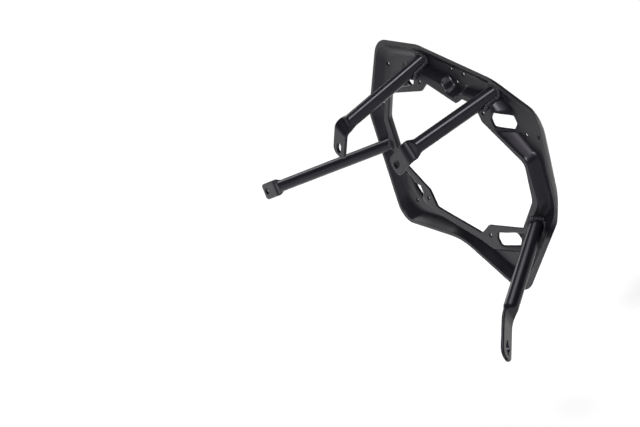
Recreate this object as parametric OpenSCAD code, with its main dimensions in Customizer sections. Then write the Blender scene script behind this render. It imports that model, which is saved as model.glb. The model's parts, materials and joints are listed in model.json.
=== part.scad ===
// Pannier frame for the left side of a motorcycle: one pressed steel ring plate
// that carries a hard pannier on its outer face, held by four welded tube struts.
// +X points to the front of the motorcycle, +Y outboard and +Z up.
// The plate is drawn in its own plane, as x and z, with depth measured inboard
// from the outer face. The struts are drawn in space.

/* [Plate] */
// Distance from the plate's datum to its front edge, at the upper front corner
plate_front = 193; // [183:1:207]
// Distance from the plate's datum to its straight rear edge
plate_rear = 190; // [182:1:203]
// Height of the plate's upper rear corner above its datum
plate_top = 147; // [141:1:158]
// Distance from the plate's datum down to the corner of the lower tip
plate_tip = 193; // [185:1:205]
// Thickness of the pressed sheet
sheet = 3; // [2:0.25:4]
// Depth from the outer face to the floor of the pressed inner border
press_depth = 12.5; // [9:0.5:15]
// Depth from the outer face to the skirt's free edge
skirt_depth = 13.5; // [11:0.5:16]
// Width of the flat strip between the border's wall and the opening, at the rear
border_strip = 9; // [6:0.5:11]
// Width of the skirt's slope along the front edge
skirt_front = 8.5; // [7:0.5:12]
// Width of the skirt's slope along the rear edge
skirt_rear = 14.5; // [12:0.5:16]
// Width of the skirt's slope along the top edge
skirt_top = 17.5; // [12:0.5:20]
// Width of the broad skirt below the front corner, above the lower strut
skirt_broad = 27; // [20:0.5:30]

/* [Lugs] */
// Length of each lug's six-sided slot, from tip to tip
slot_len = 36; // [32:0.5:38]
// Width of each lug's slot
slot_w = 18; // [15:0.5:19]
// Length of the slot's straight sides
slot_side = 27; // [24:0.5:28]
// Diameter of the small round holes in the plate
small_hole_d = 5.5; // [4.5:0.1:7]

/* [Struts] */
// Outer diameter of the front, lower and top struts' tube
tube_d = 18; // [16:0.5:20]
// Outer diameter of the rear strut's tube
rear_tube_d = 16; // [14:0.5:18]
// Wall of the tubes
tube_wall = 2; // [1.5:0.1:2.4]
// Length over which a tube is squeezed flat
flatten_len = 30; // [24:1:36]
// Length of the flattened end beyond its crease
tongue_len = 44; // [42:0.5:50]
// Distance from the crease to the centre of the fixing hole or slot
hole_reach = 31; // [29:0.5:32]
// Length of the rear strut's flattened end beyond its crease
rear_tongue_len = 38; // [36.5:0.5:42]
// Distance from the rear strut's crease to the centre of its fixing hole
rear_hole_reach = 28; // [26:0.5:28.5]
// Length of the lower strut's flattened end beyond its crease
lower_tongue_len = 53.5; // [52:0.5:58]
// Distance from the lower strut's crease to the centre of its fixing hole
lower_hole_reach = 39; // [37:0.5:40]
// Width of the top struts' fixing slots
top_slot_w = 8.5; // [6.5:0.1:9]
// Length of the top struts' fixing slots, from end to end
top_slot_len = 16; // [12:0.5:18]
// Diameter of the rear strut's fixing hole
rear_hole_d = 9; // [6.5:0.1:10.5]
// Diameter of the lower strut's fixing hole
lower_hole_d = 11; // [8.5:0.1:11.5]
// Length of the narrow keyway through the lower strut's hole
keyway_len = 18; // [15:0.5:19]
// Width of the keyway
keyway_w = 3.6; // [3:0.1:3.8]
// Inboard distance from the outer face to the top struts' fixing plane
top_reach = 98.5; // [90:0.5:110]
// Inboard distance from the outer face to the rear strut's fixing plane
rear_reach = 94; // [86:0.5:100]
// Inboard distance from the outer face to the crease of the lower strut
lower_reach = 111.5; // [103:0.5:122]

/* [Welds] */
// Leg length of the weld beads at the struts' feet
weld_leg = 4; // [3:0.5:5]

/* [Hidden] */
$fn = 48;
steel = [0.16, 0.16, 0.18];
weld_steel = [0.22, 0.22, 0.24];
arc_steps = 3;
outline_steps = 6;
floor_back = press_depth + sheet;
slack = 0.05;

// Short names for the plate's four extremes, which its corners are placed from
fx = plate_front;
rx = -plate_rear;
tz = plate_top;
bz = -plate_tip;

// Corners of the skirt's free edge, counterclockwise seen from outboard with
// the front to the right: [x, z, corner radius]
edge_corners = [
    [rx, bz + 94, 28], [rx + 134, bz + 72, 110], [fx - 139, bz, 40], [fx - 19, bz + 105, 40],
    [fx, tz - 108, 28], [fx - 84, tz - 58, 60], [rx + 170, tz - 13, 60], [rx + 77, tz, 28],
    [rx, tz - 96, 25]
];
// Width of the skirt's slope along the edge that leaves each of those corners
skirt_w = [skirt_rear - 1.5, skirt_rear - 2, skirt_broad, skirt_front, skirt_front + 1,
           (skirt_front + skirt_top) / 2, skirt_top, skirt_rear - 2.5, skirt_rear];
face_radii = [18, 110, 26, 26, 20, 60, 50, 18, 20];

// Corners of the pressed border: where its wall leaves the outer face
wall_top = [
    [rx + 34, bz + 183, 14], [rx + 38, bz + 150, 10], [rx + 43, bz + 127, 10], [rx + 102, bz + 102, 12],
    [rx + 184, bz + 71, 10], [fx - 179, bz + 60, 10], [fx - 122, bz + 60, 10], [fx - 120, bz + 85, 8],
    [fx - 89, bz + 84, 12], [fx - 45, bz + 123, 16], [fx - 43, tz - 161, 14], [fx - 61, tz - 134, 8],
    [fx - 59, tz - 109, 10], [fx - 84, tz - 92, 12], [fx - 117, tz - 82, 10], [fx - 145, tz - 76, 6],
    [fx - 160, tz - 81, 5], [fx - 175, tz - 74, 5], [rx + 204, tz - 60, 8], [rx + 154, tz - 44, 8],
    [rx + 104, tz - 40, 10], [rx + 100, tz - 63, 8], [rx + 64, tz - 64, 8], [rx + 34, tz - 107, 12]
];
// The same corners at the foot of the wall, on the border's floor. Beside a
// lug's slot the two lie far apart, and the wall becomes a ramp.
wall_foot = [
    [rx + 38, bz + 181, 10], [rx + 71, bz + 150, 10], [rx + 81, bz + 121, 8], [rx + 103, bz + 107, 8],
    [rx + 186, bz + 75, 8], [fx - 178, bz + 65, 8], [fx - 159, bz + 65, 8], [fx - 155, bz + 89, 6],
    [fx - 95, bz + 88, 8], [fx - 51, bz + 125, 12], [fx - 49, tz - 164, 12], [fx - 97, tz - 125, 8],
    [fx - 93, tz - 103, 6], [fx - 89, tz - 94, 3], [fx - 119, tz - 86, 8], [fx - 145, tz - 80, 5],
    [fx - 160, tz - 85, 5], [fx - 177, tz - 78, 5], [rx + 200, tz - 65, 6], [rx + 155, tz - 48, 6],
    [rx + 140, tz - 45, 8], [rx + 134, tz - 66, 8], [rx + 68, tz - 67, 8], [rx + 38, tz - 108, 10]
];
// Corners of the opening's edge, with the four lugs and the tab at the top
opening = [
    [rx + 38 + border_strip + 2, bz + 179, 16], [rx + 96, bz + 138, 5], [rx + 102, bz + 115, 4],
    [rx + 190, bz + 83, 3], [fx - 172, bz + 94, 5], [fx - 98, bz + 92, 5], [fx - 60, bz + 127, 12],
    [fx - 53, tz - 167, 12], [fx - 116, tz - 114, 6], [fx - 122, tz - 93, 4], [fx - 145, tz - 85, 3],
    [fx - 161, tz - 90, 5], [rx + 168, tz - 63, 3], [rx + 151, tz - 72, 6], [rx + 71, tz - 72, 4],
    [rx + 38 + border_strip, tz - 105, 12]
];
// Lug slots: centre x, centre z and turn
slots = [
    [rx + 61, bz + 139.5, -18], [fx - 143, bz + 75, -7], [fx - 78, tz - 116, -18], [rx + 124, tz - 53.5, -7]
];
// Small round holes, in the same order: rear and lower lug first
small_holes = [
    [rx + 32, bz + 159], [rx + 34, bz + 119], [rx + 87, bz + 127], [fx - 175, bz + 81],
    [fx - 106, bz + 70], [fx - 139, bz + 40], [fx - 34, bz + 136], [fx - 32, bz + 156],
    [fx - 51, tz - 136], [fx - 26, tz - 139], [fx - 108, tz - 103], [fx - 146, tz - 58],
    [fx - 170, tz - 50], [fx - 165, tz - 67], [rx + 153, tz - 60], [rx + 90, tz - 51],
    [rx + 69, tz - 37], [rx + 38, tz - 71], [rx + 26, tz - 87]
];

// Strut feet, creases and tongues. A tongue turns from the plate's plane by
// yaw about Z, and rises by tilt from the level in its own plane.
upper_rear_foot = [rx + 156, -sheet, tz - 35.5];
upper_rear_crease = [rx + 77.5, -top_reach, tz - 90];
upper_rear_tilt = 232;
upper_front_foot = [fx - 90, -sheet, tz - 82];
upper_front_crease = [fx - 163, -top_reach, tz - 123];
upper_front_tilt = 205;
rear_foot = [rx + 25, -10, bz + 199];
rear_crease = [rx - 174, -rear_reach, bz + 166.5];
rear_tilt = 190;
rear_end_x = rx + 31.5;
lower_foot = [fx - 76, -sheet, bz + 102];
lower_crease = [fx - 31, -lower_reach, bz + 19.5];
lower_yaw = -48.5;
lower_tilt = -35.5;

// Vector and outline functions
function unit(v) = v / norm(v);
function flat(c) = [c[0], c[1]];
function right_of(d) = [d[1], -d[0]];
function wrap(i, n) = (i + n) % n;

// Rounded points of a closed list of corners, with the same count at each corner
function rounded(corners, steps) = [
    for (i = [0:len(corners) - 1])
        let (
            n = len(corners),
            p = flat(corners[i]),
            u = unit(p - flat(corners[wrap(i - 1, n)])),
            v = unit(flat(corners[wrap(i + 1, n)]) - p),
            turn = atan2(u[0] * v[1] - u[1] * v[0], u * v),
            r = corners[i][2],
            run = r * tan(abs(turn) / 2),
            side = turn > 0 ? -1 : 1,
            centre = p - u * run + side * r * right_of(u)
        )
        for (k = [0:steps])
            let (a = turn * k / steps, d = [u[0] * cos(a) - u[1] * sin(a), u[0] * sin(a) + u[1] * cos(a)])
                centre - side * r * right_of(d)
];

// Corners moved inwards, each edge by its own distance; negative is outwards
function inset(corners, d, radii) = [
    for (i = [0:len(corners) - 1])
        let (
            n = len(corners),
            p = flat(corners[i]),
            u = unit(p - flat(corners[wrap(i - 1, n)])),
            v = unit(flat(corners[wrap(i + 1, n)]) - p),
            du = d[wrap(i - 1, n)],
            dv = d[i],
            s = u[0] * v[1] - u[1] * v[0],
            c = u * v,
            m = p - right_of(u) * du + u * (c * du - dv) / s
        )
        [m[0], m[1], radii[i]]
];

function grown_radius(corners, i, d) =
    let (
        n = len(corners),
        u = flat(corners[i]) - flat(corners[wrap(i - 1, n)]),
        v = flat(corners[wrap(i + 1, n)]) - flat(corners[i])
    )
    max(corners[i][2] + (u[0] * v[1] - u[1] * v[0] > 0 ? d : -d), 0.8);
function grow(corners, d) = inset(
    corners, [for (c = corners) -d], [for (i = [0:len(corners) - 1]) grown_radius(corners, i, d)]
);

function blend(a, b, u) = [for (i = [0:len(a) - 1]) a[i] + (b[i] - a[i]) * u];
function at_depth(loop, depth) = [for (p = loop) [p[0], p[1], depth]];

function middle(loop) = [for (p = loop) 1] * loop / len(loop);

// Closed solid through a stack of loops of equally many points. Each end is a
// fan of triangles round its middle, so an outline with hollows stays true.
module skin(loops) {
    n = len(loops[0]);
    m = len(loops);
    points = concat([for (loop = loops) each loop], [middle(loops[0]), middle(loops[m - 1])]);
    sides = [
        for (i = [0:m - 2], j = [0:n - 1])
            let (a = i * n + j, b = i * n + (j + 1) % n)
                each [[a, a + n, b], [b, a + n, b + n]]
    ];
    ends = [
        for (j = [0:n - 1])
            let (k = (j + 1) % n, top = (m - 1) * n)
                each [[m * n, j, k], [m * n + 1, top + k, top + j]]
    ];
    polyhedron(points, concat(sides, ends));
}

// Places what is drawn in the plate's plane, depth up, into space
module in_plate() {
    rotate([90, 0, 0]) children();
}

// Moves the part so that the rear strut's fixing hole is at the origin
module from_bolt() {
    translate(-rear_crease - tongue_dir(0, rear_tilt) * rear_hole_reach) children();
}

// The skirt leaves the face in a soft bend and then runs straight
bend = 0.4;
function skirt_fall(u) = (u < bend ? u * u / (2 * bend) : u - bend / 2) / (1 - bend / 2);
skirt_stations = [0, 0.12, 0.26, 0.4, 1];
skirt_slope = [for (w = skirt_w) norm([w, skirt_depth])];
face_corners = inset(edge_corners, skirt_w, face_radii);

module pan_outside() {
    outer = rounded(edge_corners, outline_steps);
    inner = rounded(face_corners, outline_steps);
    skin([for (u = skirt_stations) at_depth(blend(inner, outer, u), skirt_depth * skirt_fall(u))]);
}

module pan_inside() {
    back_edge = inset(
        edge_corners, [for (s = skirt_slope) s * sheet / skirt_depth],
        [for (i = [0:len(edge_corners) - 1]) grown_radius(edge_corners, i, -sheet)]
    );
    back_face = inset(
        face_corners, [for (i = [0:len(skirt_w) - 1]) (skirt_slope[i] - skirt_w[i]) * sheet / skirt_depth],
        face_radii
    );
    outer = rounded(back_edge, outline_steps);
    inner = rounded(back_face, outline_steps);
    rise = skirt_depth - sheet;
    // The last station lies past the free edge, so that the cut leaves the pan open
    stations = concat([for (u = skirt_stations) if (u < 1) u], [1.1]);
    skin([for (u = stations) at_depth(blend(inner, outer, u), sheet + rise * skirt_fall(u))]);
}

module pan_rim() {
    difference() {
        pan_outside();
        pan_inside();
    }
}

// The border's wall falls from the face to the floor in an even S curve
wall_stations = [0.15, 0.35, 0.65, 0.85, 1];
function wall_fall(u) = u * u * (3 - 2 * u);

module border_front() {
    top = rounded(wall_top, arc_steps);
    foot = rounded(wall_foot, arc_steps);
    skin(concat(
        [at_depth(blend(top, foot, -0.2), -1)],
        [for (u = wall_stations) at_depth(blend(top, foot, u), press_depth * wall_fall(u))]
    ));
}

module border_back() {
    top = rounded(grow(wall_top, sheet), arc_steps);
    foot = rounded(grow(wall_foot, sheet), arc_steps);
    skin(concat(
        [at_depth(blend(top, foot, -0.2), sheet / 2)],
        [for (u = wall_stations) at_depth(blend(top, foot, u), sheet + press_depth * wall_fall(u))]
    ));
}

module through(outline) {
    translate([0, 0, -1]) linear_extrude(floor_back + 2) polygon(outline);
}

// Six-sided slot with softened corners
module lug_slot(x, z, turn) {
    slot_corners = [
        [-slot_side / 2, -slot_w / 2, 3], [slot_side / 2, -slot_w / 2, 3], [slot_len / 2, 0, 4],
        [slot_side / 2, slot_w / 2, 3], [-slot_side / 2, slot_w / 2, 3], [-slot_len / 2, 0, 4]
    ];
    translate([x, z, 0]) rotate([0, 0, turn]) through(rounded(slot_corners, arc_steps));
}

// The pressing before it is cut out
module pressed_sheet() {
    difference() {
        union() {
            pan_rim();
            border_back();
        }
        border_front();
    }
}

module carrier_plate() {
    color(steel) from_bolt() in_plate() difference() {
        pressed_sheet();
        through(rounded(opening, arc_steps));
        for (s = slots) lug_slot(s[0], s[1], s[2]);
        for (h = small_holes) translate([h[0], h[1], -1]) cylinder(d = small_hole_d, h = floor_back + 2, $fn = 24);
    }
}

// Everything outboard of the sheet's inboard surface, which the feet of the
// struts and their beads are coped to
module sheet_side() {
    in_plate() {
        difference() {
            translate([rx - 20, bz - 20, -40]) cube([fx - rx + 40, tz - bz + 40, 40 + skirt_depth - sheet / 6]);
            pan_inside();
        }
        border_back();
    }
}

// The same with the border's walls upright, for the beads that end beside them
module bead_side() {
    in_plate() {
        difference() {
            translate([rx - 20, bz - 20, -40]) cube([fx - rx + 40, tz - bz + 40, 40 + skirt_depth - sheet / 6]);
            pan_inside();
        }
        translate([0, 0, sheet / 2]) linear_extrude(press_depth + sheet / 2) polygon(rounded(grow(wall_top, sheet), arc_steps));
    }
}

// The same for the rear strut, which crosses the skirt's free edge
module rim_side() {
    in_plate() {
        translate([rx - 20, bz - 20, -40]) cube([fx - rx + 40, tz - bz + 40, 40 + sheet / 3]);
        border_back();
        pan_rim();
    }
}

// A tube of diameter d squeezed flat keeps the length of its wall
function flat_width(d) = PI * (d - 2 * tube_wall) / 2 + 2 * tube_wall;
function flat_thick() = 2 * tube_wall;

// Section of a tube while it is squeezed: half width w, half thickness h
section_points = 24;
function section(centre, across, through_dir, w, h) = [
    for (i = [0:section_points - 1])
        let (a = (i + 0.5) * 360 / section_points)
            centre + across * ((cos(a) > 0 ? 1 : -1) * (w - h) + h * cos(a)) + through_dir * (h * sin(a))
];

function tongue_dir(yaw, tilt) = [cos(tilt) * cos(yaw), cos(tilt) * sin(yaw), sin(tilt)];
function tongue_normal(yaw) = [-sin(yaw), cos(yaw), 0];

squeeze = [0, 0.2, 0.4, 0.6, 0.8];
function ease(u) = u * u * (3 - 2 * u);

// The squeezed stretch, from round to the crease; shrink leaves a wall around
module squeezed(foot, crease, yaw, tilt, d, shrink) {
    axis = unit(crease - foot);
    n_end = tongue_normal(yaw);
    w_end = cross(n_end, tongue_dir(yaw, tilt));
    across = unit(w_end - axis * (w_end * axis));
    n_tube = cross(axis, across);
    flip = n_tube * n_end < 0 ? -1 : 1;
    w1 = flat_width(d) / 2;
    h1 = flat_thick() / 2;
    loops = [
        for (u = squeeze)
            let (e = ease(u), r = d / 2 - slack, w = r + (w1 - r) * e - shrink, h = max(r + (h1 - r) * e - shrink, 0.2))
                section(crease - axis * flatten_len * (1 - u), across, n_tube, max(w, h), h)
    ];
    last = section(crease, w_end, flip * n_end, w1 - slack - shrink, max(h1 - slack - shrink, 0.15));
    skin([for (loop = concat(loops, shrink > 0 ? [] : [last])) loop]);
}

module along(from, to) {
    d = to - from;
    translate(from) rotate([0, acos(d[2] / norm(d)), atan2(d[1], d[0])]) children();
}

// Flattened end beyond the crease, with rounded corners; its children are cut out
module tongue(crease, yaw, tilt, d, len, end_r) {
    w = flat_width(d);
    outline = rounded([
        [-flat_thick(), -w / 2, 1], [len, -w / 2, end_r], [len, w / 2, end_r],
        [-flat_thick(), w / 2, 1]
    ], 8);
    translate(crease) rotate([0, 0, yaw]) rotate([0, -tilt, 0]) rotate([90, 0, 0])
        translate([0, 0, -flat_thick() / 2]) linear_extrude(flat_thick()) polygon(outline);
}

module strut_body(foot, crease, yaw, tilt, d, len, end_r) {
    overrun = 24;
    axis = unit(crease - foot);
    start = foot - axis * overrun;
    round_len = norm(crease - foot) - flatten_len;
    difference() {
        union() {
            along(start, crease) cylinder(d = d, h = overrun + round_len + 0.5);
            squeezed(foot, crease, yaw, tilt, d, 0);
            tongue(crease, yaw, tilt, d, len, end_r);
        }
        along(start, crease) translate([0, 0, -1]) cylinder(d = d - 2 * tube_wall, h = overrun + round_len + 2);
        squeezed(foot, crease, yaw, tilt, d, tube_wall);
    }
}

// Frame of a tongue's fixing hole, with Z along the hole
module at_hole(crease, yaw, tilt, reach) {
    translate(crease) rotate([0, 0, yaw]) rotate([0, -tilt, 0]) rotate([90, 0, 0])
        translate([reach, 0, 0]) children();
}

module slotted_hole(len, w) {
    depth = flat_thick() + 4;
    for (side = [-1, 1]) translate([side * (len - w) / 2, 0, -depth / 2]) cylinder(d = w, h = depth);
    translate([-(len - w) / 2, -w / 2, -depth / 2]) cube([len - w, w, depth]);
}

module upper_rear_strut() {
    color(steel) from_bolt() difference() {
        strut_body(upper_rear_foot, upper_rear_crease, 0, upper_rear_tilt, tube_d, tongue_len, tube_d / 2);
        at_hole(upper_rear_crease, 0, upper_rear_tilt, hole_reach) slotted_hole(top_slot_len, top_slot_w);
        sheet_side();
    }
}

module upper_front_strut() {
    color(steel) from_bolt() difference() {
        strut_body(upper_front_foot, upper_front_crease, 0, upper_front_tilt, tube_d, tongue_len, tube_d / 2);
        at_hole(upper_front_crease, 0, upper_front_tilt, hole_reach) slotted_hole(top_slot_len, top_slot_w);
        sheet_side();
    }
}

// The rear strut crosses the skirt's free edge and ends against the border's wall
module rear_strut() {
    color(steel) from_bolt() difference() {
        strut_body(rear_foot, rear_crease, 0, rear_tilt, rear_tube_d, rear_tongue_len, 4);
        at_hole(rear_crease, 0, rear_tilt, rear_hole_reach) translate([0, 0, -5]) cylinder(d = rear_hole_d, h = 10);
        rim_side();
        translate([rear_end_x, -60, bz]) cube([60, 80, tz - bz]);
    }
}

module lower_strut() {
    color(steel) from_bolt() difference() {
        strut_body(lower_foot, lower_crease, lower_yaw, lower_tilt, tube_d, lower_tongue_len, tube_d / 2);
        at_hole(lower_crease, lower_yaw, lower_tilt, lower_hole_reach) {
            translate([0, 0, -5]) cylinder(d = lower_hole_d, h = 10);
            rotate([0, 0, 14]) translate([-keyway_len / 2, -keyway_w / 2, -5]) cube([keyway_len, keyway_w, 10]);
        }
        sheet_side();
    }
}

outboard = [0, 1, 0];
forward = [1, 0, 0];
bead_seat = -sheet * 0.8;

// Weld bead round a tube, where it meets the plane at right angles to normal through the point
module bead(foot, crease, d, normal, point) {
    axis = unit(crease - foot);
    centre = foot + axis * ((point - foot) * normal) / (axis * normal);
    side = unit(cross(axis, normal));
    up = cross(side, axis);
    n = 32;
    r = (d / 2 + slack) / cos(180 / n);
    loops = [
        for (i = [0:n - 1])
            let (
                a = i * 360 / n,
                out = side * cos(a) + up * sin(a),
                root = centre + out * r - axis * ((out * normal) * r / (axis * normal)),
                along_plate = unit(root - centre),
                leg = weld_leg * (1 + 0.08 * sin(a * 10))
            )
            [root, root + along_plate * leg, root + along_plate * leg * 0.62 + axis * leg * 0.5, root + axis * leg]
    ];
    points = [for (l = loops) each l];
    faces = [
        for (i = [0:n - 1], j = [0:3])
            let (i2 = (i + 1) % n, j2 = (j + 1) % 4, a = i * 4 + j, b = i * 4 + j2, c = i2 * 4 + j2, e = i2 * 4 + j)
                each [[a, e, b], [b, e, c]]
    ];
    polyhedron(points, faces);
}

module upper_rear_weld() {
    color(weld_steel) from_bolt() difference() {
        bead(upper_rear_foot, upper_rear_crease, tube_d, outboard, [0, bead_seat, 0]);
        bead_side();
    }
}

module upper_front_weld() {
    color(weld_steel) from_bolt() difference() {
        bead(upper_front_foot, upper_front_crease, tube_d, outboard, [0, bead_seat, 0]);
        bead_side();
    }
}

module rear_weld() {
    color(weld_steel) from_bolt() difference() {
        bead(rear_foot, rear_crease, rear_tube_d, forward, [rear_end_x + sheet / 5, 0, 0]);
        rim_side();
    }
}

module lower_weld() {
    color(weld_steel) from_bolt() difference() {
        bead(lower_foot, lower_crease, tube_d, outboard, [0, bead_seat, 0]);
        bead_side();
    }
}

carrier_plate();
upper_rear_strut();
upper_front_strut();
rear_strut();
lower_strut();
upper_rear_weld();
upper_front_weld();
rear_weld();
lower_weld();
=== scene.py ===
import json
import math

import bmesh
import bpy
from mathutils import Matrix, Vector
from mathutils.bvhtree import BVHTree


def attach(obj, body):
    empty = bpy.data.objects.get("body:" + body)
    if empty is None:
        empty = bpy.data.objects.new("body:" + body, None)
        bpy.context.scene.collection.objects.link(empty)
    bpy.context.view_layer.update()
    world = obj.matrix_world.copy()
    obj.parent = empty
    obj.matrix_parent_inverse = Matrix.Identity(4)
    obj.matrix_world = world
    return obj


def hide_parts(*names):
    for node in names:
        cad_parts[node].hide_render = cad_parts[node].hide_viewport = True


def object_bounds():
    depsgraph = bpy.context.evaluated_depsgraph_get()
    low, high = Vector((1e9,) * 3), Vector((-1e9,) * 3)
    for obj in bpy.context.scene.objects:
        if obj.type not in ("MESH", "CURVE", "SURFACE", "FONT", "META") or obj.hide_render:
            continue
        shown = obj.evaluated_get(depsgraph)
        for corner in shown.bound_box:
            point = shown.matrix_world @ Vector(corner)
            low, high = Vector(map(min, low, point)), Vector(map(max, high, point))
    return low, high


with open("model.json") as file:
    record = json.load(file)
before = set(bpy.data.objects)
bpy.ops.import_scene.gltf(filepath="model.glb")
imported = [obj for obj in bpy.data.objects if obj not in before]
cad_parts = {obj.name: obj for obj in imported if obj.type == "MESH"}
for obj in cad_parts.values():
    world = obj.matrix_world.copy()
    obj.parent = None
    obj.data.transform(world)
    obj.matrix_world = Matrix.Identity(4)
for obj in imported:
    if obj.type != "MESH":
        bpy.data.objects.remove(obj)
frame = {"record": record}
cad_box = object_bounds()

MM = 0.001

# Sizes are in millimetres. First the sheet, and the plate's reach from its datum
SHEET = 3.0
PLATE_FRONT, PLATE_REAR, PLATE_TOP, PLATE_TIP = 193.0, 190.0, 147.0, 193.0

# The skirt's depth, and its width seen from inboard along each side
SKIRT_DEPTH = 13.5
SKIRT_FRONT, SKIRT_REAR, SKIRT_TOP, SKIRT_BROAD = 8.5, 14.5, 17.5, 27.0

# The skirt's bend starts on the face, this far in from the skirt, and takes this share of
# the width from there to the outer edge
BEND_START = 5.0
BEND_SHARE = 0.8

# The stepped border, and how much its wall spreads at the top and at the foot
PRESS_DEPTH = 12.5
BORDER_STRIP = 9.0
SHOULDER = 2.0

# The lugs' six-sided slots and the plate's small holes
SLOT_LEN, SLOT_W, SLOT_SIDE = 36.0, 18.0, 27.0
SMALL_HOLE_D = 5.5

# Tubes, and how far inboard of the outer face each one reaches its crease
TUBE_D, REAR_TUBE_D, TUBE_WALL = 18.0, 16.0, 2.0
TOP_REACH, REAR_REACH, LOWER_REACH = 98.5, 94.0, 111.5

# How far before its crease a tube starts to be squeezed flat, and how far the crease's
# bend reaches to each side
FLATTEN_LEN, CREASE_BEND = 18.0, 6.5
REAR_FLATTEN_LEN, REAR_CREASE_BEND = 13.0, 3.0

# Tongues, which are the flattened ends: their length and their hole's place, from the crease
TONGUE_LEN, HOLE_REACH = 44.0, 31.0
REAR_TONGUE_LEN, REAR_HOLE_REACH = 38.0, 28.0
LOWER_TONGUE_LEN, LOWER_HOLE_REACH = 53.5, 39.0
REAR_END_R = 4.0

# Fixing holes: the top struts' slots, the rear strut's round hole, and the lower strut's
# round hole with a keyway across it
TOP_SLOT_LEN, TOP_SLOT_W = 16.0, 8.5
REAR_HOLE_D = 9.0
LOWER_HOLE_D, KEY_LEN, KEY_W = 11.0, 18.0, 3.6
KEY_TURN = math.radians(14)

# Weld beads: radius and spacing of their scales
BEAD_R, BEAD_PITCH = 3.2, 1.9

# How finely curves are drawn
CORNER_STEPS, SMALL_CORNER_STEPS = 10, 6
BEND_STEPS, WALL_STEPS = 12, 14
HOLE_POINTS, TUBE_POINTS, BEAD_POINTS = 28, 56, 48
SQUEEZE_STEPS, CREASE_STEPS, END_STEPS = 12, 12, 10
SLOT_STEPS, KEY_STEPS = 14, 16

# How cut pieces are cleaned and their edges rounded
EDGE_ROUNDING = 0.4
MERGE_DIST = 0.02
FLAT_ANGLE = math.radians(0.3)
ROUNDED_ANGLE = math.radians(50)
PLATE_SHARP, TUBE_SHARP = math.radians(35), math.radians(40)

# The tightest corner that a moved outline keeps, and how far cutters reach past a surface
LEAST_RADIUS = 0.8
PAST = 1.0

# The plate's front, rear, top and tip, from which its outlines are measured
fx, rx, tz, bz = PLATE_FRONT, -PLATE_REAR, PLATE_TOP, -PLATE_TIP
TAB_HOLE = (fx - 165, tz - 67)

# The datum lies on the outer face, and is placed from a hole that the plate's record names
holes = {m["name"]: Vector(m["pos_m"]) / MM for m in frame["record"]["mounts"]}
DATUM = holes["tab_hole"] - Vector((TAB_HOLE[0], -SHEET / 2, TAB_HOLE[1]))


def in_frame(x, y, z):
    """A point given from the datum, in the frame."""
    return DATUM + Vector((x, y, z))


# Outlines in the plate's plane, as corners (x, z, radius)
def edges_at(corners, i):
    """Corner i, with the directions of the edge that comes to it and the edge that leaves it."""
    point = Vector(corners[i][:2])
    coming = (point - Vector(corners[i - 1][:2])).normalized()
    leaving = (Vector(corners[(i + 1) % len(corners)][:2]) - point).normalized()
    return point, coming, leaving


def cross(u, v):
    return u.x * v.y - u.y * v.x


def left_of(u):
    return Vector((-u.y, u.x))


def rounded(corners, steps=CORNER_STEPS):
    """Points of a closed outline with rounded corners, the same number at each corner."""
    points = []
    for i, corner in enumerate(corners):
        p, u, v = edges_at(corners, i)
        turn = math.atan2(cross(u, v), u.dot(v))
        run = corner[2] * math.tan(abs(turn) / 2)
        side = math.copysign(corner[2], turn)
        centre = p - u * run + side * left_of(u)
        for k in range(steps + 1):
            d = Matrix.Rotation(turn * k / steps, 2) @ u
            points.append(centre - side * left_of(d))
    return points


def grown_radius(corners, i, d):
    """Radius of corner i after the outline moves outwards by d."""
    _, u, v = edges_at(corners, i)
    return max(corners[i][2] + (d if cross(u, v) > 0 else -d), LEAST_RADIUS)


def inset(corners, distances, radii):
    """Corners moved inwards, each edge by its own distance, and given new radii."""
    moved = []
    for i, radius in enumerate(radii):
        p, u, v = edges_at(corners, i)
        before, after = distances[i - 1], distances[i]
        m = p + left_of(u) * before + u * (u.dot(v) * before - after) / cross(u, v)
        moved.append((m.x, m.y, radius))
    return moved


def grow(corners, d):
    """Corners moved outwards by d."""
    radii = [grown_radius(corners, i, d) for i in range(len(corners))]
    return inset(corners, [-d] * len(corners), radii)


def blend(a, b, u):
    """The outline at share u of the way from a to b."""
    return [p.lerp(q, u) for p, q in zip(a, b)]


def at_depth(outline, depth):
    """An outline placed in the frame, at a depth behind the outer face."""
    return [in_frame(p.x, -depth, p.y) for p in outline]


def circle(x, z, d):
    turns = [2 * math.pi * k / HOLE_POINTS for k in range(HOLE_POINTS)]
    return [Vector((x + d / 2 * math.cos(a), z + d / 2 * math.sin(a))) for a in turns]


def round_slot(length, width):
    """A slot with round ends, lengthwise along the outline's first direction."""
    points = []
    for side in (1, -1):
        for k in range(SLOT_STEPS + 1):
            a = math.pi * (k / SLOT_STEPS - 0.5) + (0 if side > 0 else math.pi)
            along = side * (length - width) / 2 + width / 2 * math.cos(a)
            points.append(Vector((along, width / 2 * math.sin(a))))
    return points


def keyed_hole(d, length, width, turn):
    """A round hole with a narrow keyway through it, as one outline."""
    meet = math.asin(width / d)
    points = []
    for side in (0, math.pi):
        key_end = [(length / 2, -width / 2), (length / 2, width / 2)]
        points += [Matrix.Rotation(side, 2) @ Vector(p) for p in key_end]
        for k in range(KEY_STEPS + 1):
            a = side + meet + (math.pi - 2 * meet) * k / KEY_STEPS
            points.append(Vector((d / 2 * math.cos(a), d / 2 * math.sin(a))))
    spin = Matrix.Rotation(turn, 2)
    return [spin @ p for p in points]


# Meshes
def new_piece(name, mesh):
    piece = bpy.data.objects.new(name, mesh)
    bpy.context.scene.collection.objects.link(piece)
    return piece


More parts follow.
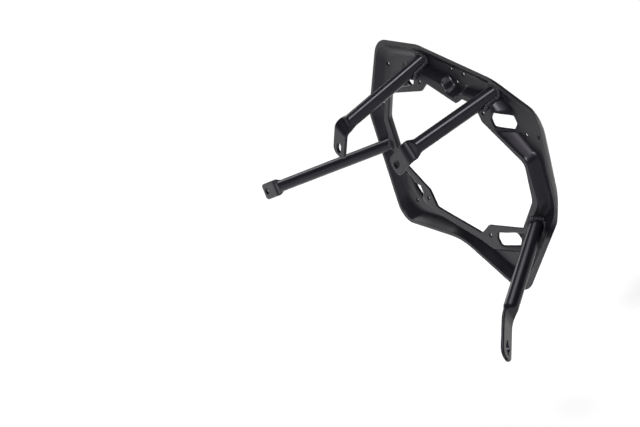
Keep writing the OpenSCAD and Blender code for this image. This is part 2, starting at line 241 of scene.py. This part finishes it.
def skin(name, loops):
    """Closed solid through a stack of loops of equally many points, in millimetres."""
    shape = bmesh.new()
    rings = [[shape.verts.new(p * MM) for p in loop] for loop in loops]
    count = len(rings[0])
    for low, high in zip(rings, rings[1:]):
        for j in range(count):
            k = (j + 1) % count
            shape.faces.new((low[j], low[k], high[k], high[j]))
    shape.faces.new(rings[0][::-1])
    shape.faces.new(rings[-1])
    bmesh.ops.recalc_face_normals(shape, faces=shape.faces)
    mesh = bpy.data.meshes.new(name)
    shape.to_mesh(mesh)
    shape.free()
    return new_piece(name, mesh)


def block(name, low, high):
    """Box between its lowest and its highest corner, in millimetres."""
    rim = ((low.x, low.z), (high.x, low.z), (high.x, high.z), (low.x, high.z))
    return skin(name, [[Vector((x, y, z)) for x, z in rim] for y in (low.y, high.y)])


def settle(piece):
    """Applies the piece's modifiers."""
    evaluated = piece.evaluated_get(bpy.context.evaluated_depsgraph_get())
    mesh = bpy.data.meshes.new_from_object(evaluated)
    piece.modifiers.clear()
    old, piece.data = piece.data, mesh
    bpy.data.meshes.remove(old)


def combine(piece, tools, operation="DIFFERENCE"):
    """Cuts the tools from the piece, or joins them to it, and deletes the tools."""
    for tool in tools:
        step = piece.modifiers.new("cut", "BOOLEAN")
        step.operation = operation
        step.solver = "MANIFOLD"
        step.object = tool
    bpy.context.view_layer.update()
    settle(piece)
    for tool in tools:
        mesh = tool.data
        bpy.data.objects.remove(tool)
        bpy.data.meshes.remove(mesh)


def clean(piece):
    """Merges points that cuts left close together, and flat faces that they left split."""
    shape = bmesh.new()
    shape.from_mesh(piece.data)
    bmesh.ops.remove_doubles(shape, verts=shape.verts, dist=MERGE_DIST * MM)
    bmesh.ops.dissolve_limit(
        shape, angle_limit=FLAT_ANGLE, verts=shape.verts, edges=shape.edges, delimit={"NORMAL"}
    )
    shape.to_mesh(piece.data)
    shape.free()


def round_and_coat(piece, sharp):
    """Rounds the piece's cut edges, shades curves up to a sharp angle smoothly, and coats it."""
    clean(piece)
    edge = piece.modifiers.new("edge", "BEVEL")
    edge.width = EDGE_ROUNDING * MM
    edge.segments = 2
    edge.limit_method = "ANGLE"
    edge.angle_limit = ROUNDED_ANGLE
    edge.use_clamp_overlap = False
    edge.miter_outer = "MITER_ARC"
    flats = piece.modifiers.new("flats", "WEIGHTED_NORMAL")
    flats.keep_sharp = True
    flats.weight = 60
    piece.data.shade_smooth()
    piece.data.set_sharp_from_angle(angle=sharp)
    bpy.context.view_layer.update()
    settle(piece)
    piece.data.materials.clear()
    piece.data.materials.append(black_coat)


# Finishes
def node(tree, kind, **inputs):
    """A new node, with its inputs set by their names."""
    made = tree.nodes.new(kind)
    for name, value in inputs.items():
        made.inputs[name.replace("_", " ")].default_value = value
    return made


def powder_coat(name, base, light, roughness, grain, bump):
    """Satin powder coat: fine orange peel, and a faint mottling of its colour and gloss."""
    coat = bpy.data.materials.new(name)
    coat.use_nodes = True
    tree = coat.node_tree
    tree.nodes.clear()
    link = tree.links.new
    out = tree.nodes.new("ShaderNodeOutputMaterial")
    shader = tree.nodes.new("ShaderNodeBsdfPrincipled")
    shader.inputs["Specular IOR Level"].default_value = 0.24
    shader.inputs["Specular Tint"].default_value = (0.92, 0.89, 1.0, 1)
    link(shader.outputs["BSDF"], out.inputs["Surface"])
    place = tree.nodes.new("ShaderNodeTexCoord")
    peel = node(tree, "ShaderNodeTexNoise", Scale=grain, Detail=3.0, Roughness=0.55)
    mottle = node(tree, "ShaderNodeTexNoise", Scale=38.0, Detail=4.0, Roughness=0.6)
    for texture in (peel, mottle):
        link(place.outputs["Object"], texture.inputs["Vector"])
    colour = tree.nodes.new("ShaderNodeMix")
    colour.data_type = "RGBA"
    share, first_colour, second_colour = colour.inputs[0], colour.inputs[6], colour.inputs[7]
    first_colour.default_value = (*base, 1)
    second_colour.default_value = (*light, 1)
    link(mottle.outputs["Fac"], share)
    link(colour.outputs[2], shader.inputs["Base Color"])
    rough = node(
        tree, "ShaderNodeMapRange", From_Min=0.3, From_Max=0.7, To_Min=roughness[0], To_Max=roughness[1]
    )
    link(mottle.outputs["Fac"], rough.inputs["Value"])
    link(rough.outputs["Result"], shader.inputs["Roughness"])
    relief = node(tree, "ShaderNodeBump", Strength=bump, Distance=0.0002)
    link(peel.outputs["Fac"], relief.inputs["Height"])
    link(relief.outputs["Normal"], shader.inputs["Normal"])
    return coat


black_coat = powder_coat(
    "black_coat", (0.0045, 0.0041, 0.0058), (0.0085, 0.0078, 0.0108), (0.27, 0.34), 900.0, 0.1
)
weld_coat = powder_coat(
    "weld_coat", (0.009, 0.0085, 0.0105), (0.026, 0.025, 0.029), (0.2, 0.3), 700.0, 0.3
)

# The plate's outer edge, and the skirt's width from each corner to the next
edge_corners = [
    (rx, bz + 94, 28), (rx + 134, bz + 72, 110), (fx - 139, bz, 40), (fx - 19, bz + 105, 40),
    (fx, tz - 108, 28), (fx - 84, tz - 58, 60), (rx + 170, tz - 13, 60), (rx + 77, tz, 40),
    (rx, tz - 96, 25),
]
skirt_w = [
    SKIRT_REAR - 1.5, SKIRT_REAR - 2, SKIRT_BROAD, SKIRT_FRONT, SKIRT_FRONT + 1,
    (SKIRT_FRONT + SKIRT_TOP) / 2, SKIRT_TOP, SKIRT_REAR - 2.5, SKIRT_REAR,
]
face_radii = [45, 110, 40, 40, 40, 60, 60, 40, 40]

# The border's wall where it leaves the face and where it meets the lugs and the strip
wall_top = [
    (rx + 34, bz + 183, 14), (rx + 38, bz + 150, 10), (rx + 43, bz + 127, 10), (rx + 102, bz + 102, 12),
    (rx + 184, bz + 71, 10), (fx - 179, bz + 60, 10), (fx - 122, bz + 60, 10), (fx - 120, bz + 85, 8),
    (fx - 89, bz + 84, 12), (fx - 45, bz + 123, 16), (fx - 43, tz - 161, 14), (fx - 61, tz - 134, 8),
    (fx - 59, tz - 109, 10), (fx - 84, tz - 92, 12), (fx - 117, tz - 82, 12), (fx - 145, tz - 76, 12),
    (fx - 160, tz - 81, 12), (fx - 175, tz - 74, 14), (rx + 204, tz - 60, 14), (rx + 154, tz - 44, 8),
    (rx + 104, tz - 40, 10), (rx + 100, tz - 63, 8), (rx + 64, tz - 64, 8), (rx + 34, tz - 107, 12),
]
wall_foot = [
    (rx + 38, bz + 181, 10), (rx + 71, bz + 150, 10), (rx + 81, bz + 121, 8), (rx + 103, bz + 107, 8),
    (rx + 186, bz + 75, 8), (fx - 178, bz + 65, 8), (fx - 159, bz + 65, 8), (fx - 155, bz + 89, 6),
    (fx - 95, bz + 88, 8), (fx - 51, bz + 125, 12), (fx - 49, tz - 164, 12), (fx - 97, tz - 125, 8),
    (fx - 93, tz - 103, 6), (fx - 89, tz - 94, 3), (fx - 119, tz - 86, 10), (fx - 145, tz - 80, 10),
    (fx - 160, tz - 85, 10), (fx - 177, tz - 78, 12), (rx + 200, tz - 65, 12), (rx + 155, tz - 48, 6),
    (rx + 140, tz - 45, 8), (rx + 134, tz - 66, 8), (rx + 68, tz - 67, 8), (rx + 38, tz - 108, 10),
]
opening = [
    (rx + 38 + BORDER_STRIP + 2, bz + 179, 16), (rx + 96, bz + 138, 5), (rx + 102, bz + 115, 4),
    (rx + 190, bz + 83, 3), (fx - 172, bz + 94, 5), (fx - 98, bz + 92, 5), (fx - 60, bz + 127, 12),
    (fx - 53, tz - 167, 12), (fx - 116, tz - 114, 6), (fx - 122, tz - 93, 4), (fx - 145, tz - 85, 3),
    (fx - 161, tz - 90, 5), (rx + 168, tz - 63, 3), (rx + 151, tz - 72, 6), (rx + 71, tz - 72, 4),
    (rx + 38 + BORDER_STRIP, tz - 105, 12),
]

# Middle and turn, in degrees, of each lug's slot, and the middles of the small holes
lug_slots = [
    (rx + 61, bz + 139.5, -18), (fx - 143, bz + 75, -7), (fx - 78, tz - 116, -18), (rx + 124, tz - 53.5, -7),
]
small_holes = [
    (rx + 32, bz + 159), (rx + 34, bz + 119), (rx + 87, bz + 127), (fx - 175, bz + 81),
    (fx - 106, bz + 70), (fx - 139, bz + 40), (fx - 34, bz + 136), (fx - 32, bz + 156),
    (fx - 51, tz - 136), (fx - 26, tz - 139), (fx - 108, tz - 103), (fx - 146, tz - 58),
    (fx - 170, tz - 50), TAB_HOLE, (rx + 153, tz - 60), (rx + 90, tz - 51),
    (rx + 69, tz - 37), (rx + 38, tz - 71), (rx + 26, tz - 87),
]

# The skirt's sections run from the edge of the flat face, at 0, to the outer edge, at 1
bend_w = [w + BEND_START for w in skirt_w]
skirt_slope = [math.hypot(w, SKIRT_DEPTH) for w in bend_w]
face_corners = inset(edge_corners, bend_w, face_radii)
bend_stations = [BEND_SHARE * k / BEND_STEPS for k in range(BEND_STEPS + 1)]


def skirt_fall(u):
    """Share of its depth that the skirt has at u: a long soft bend, then a straight run."""
    return (u * u / (2 * BEND_SHARE) if u < BEND_SHARE else u - BEND_SHARE / 2) / (1 - BEND_SHARE / 2)


def smooth(u):
    """An even S curve from 0 to 1."""
    return u * u * (3 - 2 * u)


def pan_outside():
    """The pan that face and skirt make, as a solid under their outer surface."""
    outer, inner = rounded(edge_corners), rounded(face_corners)
    loops = [
        at_depth(blend(inner, outer, u), SKIRT_DEPTH * skirt_fall(u)) for u in [*bend_stations, 1]
    ]
    return skin("pan_outside", loops)


def pan_inside():
    """What the pan holds behind its sheet, drawn on past the skirt's edge."""
    past_edge = 1.1
    corners = range(len(edge_corners))
    edge_inset = [s * SHEET / SKIRT_DEPTH for s in skirt_slope]
    edge_radii = [grown_radius(edge_corners, i, -SHEET) for i in corners]
    face_inset = [(skirt_slope[i] - bend_w[i]) * SHEET / SKIRT_DEPTH for i in corners]
    outer = rounded(inset(edge_corners, edge_inset, edge_radii))
    inner = rounded(inset(face_corners, face_inset, face_radii))
    rise = SKIRT_DEPTH - SHEET
    loops = [
        at_depth(blend(inner, outer, u), SHEET + rise * skirt_fall(u)) for u in [*bend_stations, past_edge]
    ]
    return skin("pan_inside", loops)


def border(name, grown, first_depth, back):
    """Solid down to the border's surface, which starts at depth back and is grown outwards."""
    before_top = -0.2
    top = rounded(grow(wall_top, grown + SHOULDER))
    foot = rounded(grow(wall_foot, grown - SHOULDER))
    loops = [at_depth(blend(top, foot, before_top), first_depth)]
    for k in range(1, WALL_STEPS + 1):
        u = k / WALL_STEPS
        loops.append(at_depth(blend(top, foot, u), back + PRESS_DEPTH * smooth(u)))
    return skin(name, loops)


def border_front():
    """What the outer face loses to the pressed border."""
    return border("border_front", 0, -PAST, 0)


def border_back():
    """The pressed border as a solid down to its sheet's back, from inside the face's sheet."""
    return border("border_back", SHEET, SHEET / 2, SHEET)


def through(name, outline):
    """Cutter through the whole plate."""
    return skin(name, [at_depth(outline, -PAST), at_depth(outline, PRESS_DEPTH + SHEET + PAST)])


def lug_slot(x, z, turn):
    """Cutter for a six-sided slot."""
    corners = [
        (-SLOT_SIDE / 2, -SLOT_W / 2, 3), (SLOT_SIDE / 2, -SLOT_W / 2, 3), (SLOT_LEN / 2, 0, 4),
        (SLOT_SIDE / 2, SLOT_W / 2, 3), (-SLOT_SIDE / 2, SLOT_W / 2, 3), (-SLOT_LEN / 2, 0, 4),
    ]
    spin = Matrix.Rotation(math.radians(turn), 2)
    return through("slot", [spin @ p + Vector((x, z)) for p in rounded(corners, SMALL_CORNER_STEPS)])


def ring_plate():
    """The pressing: pan, stepped border, main opening, lug slots and small holes."""
    plate = pan_outside()
    plate.name = "ring_plate"
    combine(plate, [pan_inside()])
    combine(plate, [border_back()], "UNION")
    combine(plate, [border_front()])
    combine(plate, [through("opening", rounded(opening, SMALL_CORNER_STEPS))])
    combine(plate, [lug_slot(*slot) for slot in lug_slots])
    combine(plate, [through("hole", circle(x, z, SMALL_HOLE_D)) for x, z in small_holes])
    round_and_coat(plate, PLATE_SHARP)
    return plate


plate = ring_plate()
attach(plate, "root")
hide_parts("carrier_plate")


# Struts
def tongue_dir(yaw, tilt):
    return Vector((math.cos(tilt) * math.cos(yaw), math.cos(tilt) * math.sin(yaw), math.sin(tilt)))


def flat_width(d):
    """A tube squeezed flat keeps the length of its wall."""
    return math.pi * (d - 2 * TUBE_WALL) / 2 + 2 * TUBE_WALL


def section(centre, across, normal, w, h):
    """Section of a tube while it is squeezed: half width w, half thickness h."""
    ring = []
    for k in range(TUBE_POINTS):
        a = (k + 0.5) * 2 * math.pi / TUBE_POINTS
        sideways = math.copysign(w - h, math.cos(a)) + h * math.cos(a)
        ring.append(centre + across * sideways + normal * h * math.sin(a))
    return ring


class Strut:
    """A tube from its foot to the crease, where its flattened end, the tongue, turns away.

    Foot and crease are given from the datum. Yaw and tilt, in degrees, say where the
    tongue points, length is the tongue's, and end_r rounds its corners.
    """

    # Length of tube inside the plate's surface, which the plate's shape then trims
    ROOT_LEN = 24.0
    # How far a hole's cutter reaches to each side of the tongue's middle
    CUTTER_REACH = 8.0

    def __init__(
        self, name, foot, crease, yaw, tilt, d, length, end_r, flatten=FLATTEN_LEN, bend=CREASE_BEND
    ):
        self.name, self.foot, self.crease, self.d = name, in_frame(*foot), in_frame(*crease), d
        self.length, self.end_r, self.flatten, self.bend = length, end_r, flatten, bend
        yaw, tilt = math.radians(yaw), math.radians(tilt)
        self.axis = (self.crease - self.foot).normalized()
        self.out = tongue_dir(yaw, tilt)
        self.normal = Vector((-math.sin(yaw), math.cos(yaw), 0))
        self.across = self.normal.cross(self.out)

    def frame_along(self, tangent):
        """The directions of the flattened tube's breadth and thickness where it runs along a tangent."""
        across = (self.across - tangent * self.across.dot(tangent)).normalized()
        normal = across.cross(tangent)
        return across, normal * (-1 if normal.dot(self.normal) < 0 else 1)

    def loops(self):
        """Sections of the strut, from inside the plate to the end of its tongue."""
        radius, flat_w, flat_h = self.d / 2, flat_width(self.d) / 2, TUBE_WALL
        across, normal = self.frame_along(self.axis)
        rings = [section(self.foot - self.axis * self.ROOT_LEN, across, normal, radius, radius)]

        # Squeezed from round to flat
        for k in range(SQUEEZE_STEPS + 1):
            e = smooth(k / SQUEEZE_STEPS)
            back = self.flatten + (self.bend - self.flatten) * k / SQUEEZE_STEPS
            w, h = radius + (flat_w - radius) * e, radius + (flat_h - radius) * e
            rings.append(section(self.crease - self.axis * back, across, normal, w, h))

        # Bent at the crease
        start, end = self.crease - self.axis * self.bend, self.crease + self.out * self.bend
        for k in range(1, CREASE_STEPS):
            t = k / CREASE_STEPS
            centre = start.lerp(self.crease, t).lerp(self.crease.lerp(end, t), t)
            tangent = self.axis.lerp(self.out, t).normalized()
            rings.append(section(centre, *self.frame_along(tangent), flat_w, flat_h))

        # Straight along the tongue, and rounded at its end
        r = self.end_r
        profile = [(self.bend, flat_w), (self.length - r, flat_w)]
        for k in range(1, END_STEPS + 1):
            a = k * math.pi / (2 * END_STEPS)
            profile.append((self.length - r + r * math.sin(a), flat_w - r + r * math.cos(a)))
        for s, w in profile:
            rings.append(section(self.crease + self.out * s, self.across, self.normal, w, flat_h))
        return rings

    def hole(self, reach, outline):
        """Cutter through the tongue; the outline is along and across it, from the hole's centre."""
        centre = self.crease + self.out * reach
        middle = [centre + self.out * p.x + self.across * p.y for p in outline]
        ends = [[p + self.normal * side for p in middle] for side in (-self.CUTTER_REACH, self.CUTTER_REACH)]
        return skin("hole", ends)


def sheet_side():
    """Everything outboard of the sheet's back, which the struts' feet are coped to."""
    round_about, outboard, short_of_edge = 20, 40, 0.5
    low = in_frame(rx - round_about, short_of_edge - SKIRT_DEPTH, bz - round_about)
    high = in_frame(fx + round_about, outboard, tz + round_about)
    side = block("sheet_side", low, high)
    combine(side, [pan_inside()])
    return side


def tube(strut, reach, fixing_hole):
    """The strut's piece: its tube with its fixing hole, coped to the plate."""
    piece = skin(strut.name, strut.loops())
    for cutter in (strut.hole(reach, fixing_hole), sheet_side(), border_back()):
        combine(piece, [cutter])
    round_and_coat(piece, TUBE_SHARP)
    return piece


upper_rear = Strut(
    "rear_top_tube", foot=(rx + 156, -SHEET, tz - 35.5), crease=(rx + 77.5, -TOP_REACH, tz - 90),
    yaw=0, tilt=232, d=TUBE_D, length=TONGUE_LEN, end_r=TUBE_D / 2,
)
upper_front = Strut(
    "front_top_tube", foot=(fx - 90, -SHEET, tz - 82), crease=(fx - 163, -TOP_REACH, tz - 123),
    yaw=0, tilt=205, d=TUBE_D, length=TONGUE_LEN, end_r=TUBE_D / 2,
)
rear = Strut(
    "rear_tube", foot=(rx + 25, -10, bz + 199), crease=(rx - 174, -REAR_REACH, bz + 166.5),
    yaw=0, tilt=190, d=REAR_TUBE_D, length=REAR_TONGUE_LEN, end_r=REAR_END_R,
    flatten=REAR_FLATTEN_LEN, bend=REAR_CREASE_BEND,
)
lower = Strut(
    "lower_tube", foot=(fx - 76, -SHEET, bz + 102), crease=(fx - 31, -LOWER_REACH, bz + 19.5),
    yaw=-48.5, tilt=-35.5, d=TUBE_D, length=LOWER_TONGUE_LEN, end_r=TUBE_D / 2,
)

top_slot = round_slot(TOP_SLOT_LEN, TOP_SLOT_W)
rear_hole = circle(0, 0, REAR_HOLE_D)
lower_hole = keyed_hole(LOWER_HOLE_D, KEY_LEN, KEY_W, KEY_TURN)
for cad_name, strut, reach, fixing_hole in (
    ("upper_rear_strut", upper_rear, HOLE_REACH, top_slot),
    ("upper_front_strut", upper_front, HOLE_REACH, top_slot),
    ("rear_strut", rear, REAR_HOLE_REACH, rear_hole),
    ("lower_strut", lower, LOWER_HOLE_REACH, lower_hole),
):
    piece = tube(strut, reach, fixing_hole)
    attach(piece, "root")
    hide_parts(cad_name)


# Weld beads
def bead_tree():
    """Overlapping scales of weld metal laid along a closed path."""
    tree = bpy.data.node_groups.new("weld_bead", "GeometryNodeTree")
    face = tree.interface
    face.new_socket("Path", in_out="INPUT", socket_type="NodeSocketGeometry")
    for name, value in (("Radius", BEAD_R * MM), ("Pitch", BEAD_PITCH * MM)):
        face.new_socket(name, in_out="INPUT", socket_type="NodeSocketFloat").default_value = value
    face.new_socket("Seed", in_out="INPUT", socket_type="NodeSocketInt").default_value = 7
    face.new_socket("Coat", in_out="INPUT", socket_type="NodeSocketMaterial")
    face.new_socket("Bead", in_out="OUTPUT", socket_type="NodeSocketGeometry")
    link, add = tree.links.new, tree.nodes.new
    given, result = add("NodeGroupInput"), add("NodeGroupOutput")

    spaced = add("GeometryNodeResampleCurve")
    spaced.mode = "LENGTH"
    link(given.outputs["Path"], spaced.inputs["Curve"])
    link(given.outputs["Pitch"], spaced.inputs["Length"])

    scale = add("GeometryNodeMeshIcoSphere")
    scale.inputs["Subdivisions"].default_value = 3
    link(given.outputs["Radius"], scale.inputs["Radius"])

    tangent, turned = add("GeometryNodeInputTangent"), add("FunctionNodeAlignRotationToVector")
    turned.axis = "Z"
    link(tangent.outputs["Tangent"], turned.inputs["Vector"])

    # Each scale is about as wide as the bead and a good deal shorter along it
    size = add("FunctionNodeRandomValue")
    size.data_type = "FLOAT_VECTOR"
    smallest, largest = size.inputs[0], size.inputs[1]
    smallest.default_value = (0.82, 0.82, 0.5)
    largest.default_value = (1.15, 1.15, 0.75)
    link(given.outputs["Seed"], size.inputs["Seed"])

    placed = add("GeometryNodeInstanceOnPoints")
    link(spaced.outputs["Curve"], placed.inputs["Points"])
    link(scale.outputs["Mesh"], placed.inputs["Instance"])
    link(turned.outputs["Rotation"], placed.inputs["Rotation"])
    link(size.outputs["Value"], placed.inputs["Scale"])

    real = add("GeometryNodeRealizeInstances")
    link(placed.outputs["Instances"], real.inputs["Geometry"])
    painted = add("GeometryNodeSetMaterial")
    link(real.outputs["Geometry"], painted.inputs["Geometry"])
    link(given.outputs["Coat"], painted.inputs["Material"])
    link(painted.outputs["Geometry"], result.inputs["Bead"])
    return tree


bead_nodes = bead_tree()
plate_surface = BVHTree.FromObject(plate, bpy.context.evaluated_depsgraph_get())


def bead_path(strut, height):
    """Where the tube meets the pressing, looked for down the tube from a height above its foot."""
    off_tube, lifted, behind_sheet = 0.2, 0.8, 0.6
    across, normal = strut.frame_along(strut.axis)
    path = []
    for k in range(BEAD_POINTS):
        a = k * math.pi / (BEAD_POINTS / 2)
        radial = (across * math.cos(a) + normal * math.sin(a)) * (strut.d / 2 + off_tube)
        start = strut.foot + strut.axis * height + radial
        hit = plate_surface.ray_cast(start * MM, -strut.axis, 3 * height * MM)[0]
        if hit is not None:
            laid = hit + (radial.normalized() * lifted + strut.axis * lifted) * MM
            laid.y = min(laid.y, (DATUM.y - SHEET - behind_sheet) * MM)
            path.append(laid)
    return path


def bead(name, cad_name, strut, height, seed):
    """A weld bead round a strut's foot."""
    points = bead_path(strut, height)
    curve = bpy.data.curves.new(name, "CURVE")
    curve.dimensions = "3D"
    spline = curve.splines.new("POLY")
    spline.points.add(len(points) - 1)
    for target, p in zip(spline.points, points):
        target.co = (*p, 1)
    spline.use_cyclic_u = True
    path = new_piece(name + "_path", curve)
    laid = path.modifiers.new("bead", "NODES")
    laid.node_group = bead_nodes
    sockets = {s.name: s.identifier for s in bead_nodes.interface.items_tree if s.in_out == "INPUT"}
    laid[sockets["Radius"]] = BEAD_R * MM
    laid[sockets["Pitch"]] = BEAD_PITCH * MM
    laid[sockets["Seed"]] = seed
    laid[sockets["Coat"]] = weld_coat
    bpy.context.view_layer.update()
    mesh = bpy.data.meshes.new_from_object(path.evaluated_get(bpy.context.evaluated_depsgraph_get()))
    mesh.name = name
    bpy.data.objects.remove(path)
    piece = new_piece(name, mesh)
    mesh.shade_smooth()
    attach(piece, "root")
    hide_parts(cad_name)


bead("rear_top_bead", "upper_rear_weld", upper_rear, height=45, seed=13)
bead("front_top_bead", "upper_front_weld", upper_front, height=45, seed=14)
bead("rear_bead", "rear_weld", rear, height=12, seed=9)
bead("lower_bead", "lower_weld", lower, height=45, seed=10)


# Studio: places here are in metres
def floor_paint():
    paint = bpy.data.materials.new("floor_paint")
    paint.use_nodes = True
    shader = paint.node_tree.nodes["Principled BSDF"]
    shader.inputs["Base Color"].default_value = (0.9, 0.9, 0.9, 1)
    shader.inputs["Roughness"].default_value = 0.9
    return paint


FLOOR_DROP = 0.15
FLOOR_SIZE = 60

bpy.ops.mesh.primitive_plane_add(size=FLOOR_SIZE, location=(0, 0, cad_box[0][2] - FLOOR_DROP))
floor = bpy.context.object
floor.name = "floor"
floor.data.materials.append(floor_paint())

# Dim grey air, a little less dim towards the horizon
world = bpy.data.worlds.new("studio")
world.use_nodes = True
air = world.node_tree
direction = air.nodes.new("ShaderNodeTexCoord")
height = air.nodes.new("ShaderNodeSeparateXYZ")
dimmed = node(air, "ShaderNodeMapRange", From_Min=0.03, From_Max=0.3, To_Min=1.0, To_Max=0.3)
air.links.new(direction.outputs["Generated"], height.inputs["Vector"])
air.links.new(height.outputs["Z"], dimmed.inputs["Value"])
air.links.new(dimmed.outputs["Result"], air.nodes["Background"].inputs["Strength"])
bpy.context.scene.world = world
bpy.context.scene.view_settings.view_transform = "Standard"

middle = Vector([(a + b) / 2 for a, b in zip(*cad_box)])


def placed_light(name, kind, place, power):
    """A light at a place measured from the object's middle, turned towards it."""
    lamp = bpy.data.lights.new(name, kind)
    lamp.energy = power
    light = bpy.data.objects.new(name, lamp)
    light.location = middle + Vector(place)
    light.rotation_euler = (-Vector(place)).to_track_quat("-Z", "Y").to_euler()
    bpy.context.scene.collection.objects.link(light)
    return lamp


# Wide lights, each with its breadth in degrees: the key draws the bright line along the
# two top tubes, and the ceiling the one along the lower tube
for name, place, strength, breadth in (
    ("ceiling", (0.36, -0.04, 1.96), 2.1, 38),
    ("key", (0.45, -1.32, 0.97), 2.4, 12),
    ("front", (0.85, -0.71, 1.29), 0.3, 12),
):
    placed_light(name, "SUN", place, strength).angle = math.radians(breadth)

rim = placed_light("rim", "AREA", (-1.6, -0.2, 0.9), 8)
rim.shape = "RECTANGLE"
rim.size, rim.size_y = 0.4, 1.0

# The photograph's camera
CAMERA_PLACE = Vector((2.41931, -1.09038, 0.44383))
CAMERA_FORWARD = Vector((-0.88704, 0.42348, -0.18391))
CAMERA_RIGHT = Vector((0.46107, 0.83320, -0.30528))
FOCAL_PIXELS = 1950.0
IMAGE_WIDTH = 640

camera_data = bpy.data.cameras.new("camera")
camera_data.sensor_width = 36
camera_data.lens = FOCAL_PIXELS * camera_data.sensor_width / IMAGE_WIDTH
camera_data.clip_end = 100
camera = bpy.data.objects.new("camera", camera_data)
bpy.context.scene.collection.objects.link(camera)
back = -CAMERA_FORWARD.normalized()
right = (CAMERA_RIGHT - back * CAMERA_RIGHT.dot(back)).normalized()
up = back.cross(right)
camera.matrix_world = Matrix.Translation(CAMERA_PLACE) @ Matrix((right, up, back)).transposed().to_4x4()
bpy.context.scene.camera = camera
